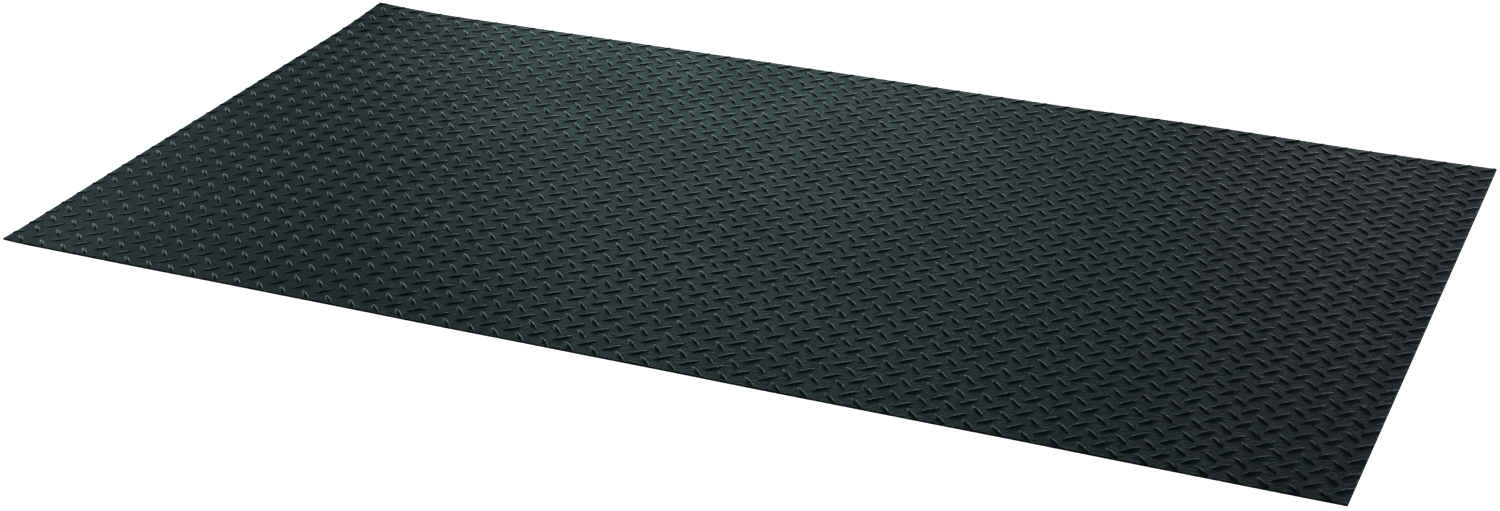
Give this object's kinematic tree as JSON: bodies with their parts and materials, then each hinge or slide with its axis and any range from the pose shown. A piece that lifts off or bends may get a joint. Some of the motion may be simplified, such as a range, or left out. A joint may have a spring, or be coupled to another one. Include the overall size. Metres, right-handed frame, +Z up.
{
  "type": "anti fatigue mat",
  "caption": "Thin rectangular floor mat, laid flat: a diamond-tread wear sheet bonded to a foam cushion with a non-slip backing.",
  "frame": {"origin": "middle of the underside, on the floor", "axes": "+X along the long sides, +Y across to the other long side, +Z up"},
  "size_m": [1.69, 0.914, 0.0032],
  "materials": {
    "tread": "satin black vinyl with a fine grain",
    "film": "thin dark adhesive film, seen only as a line at the cut edge",
    "foam": "dark grey closed-cell foam, matt",
    "backing": "matt black non-slip skin with a fine moulded grid"
  },
  "bodies": {
    "root": {"grip_backing": "backing", "foam_core": "foam", "bond_film": "film", "tread_sheet": "tread"}
  },
  "joints": []
}
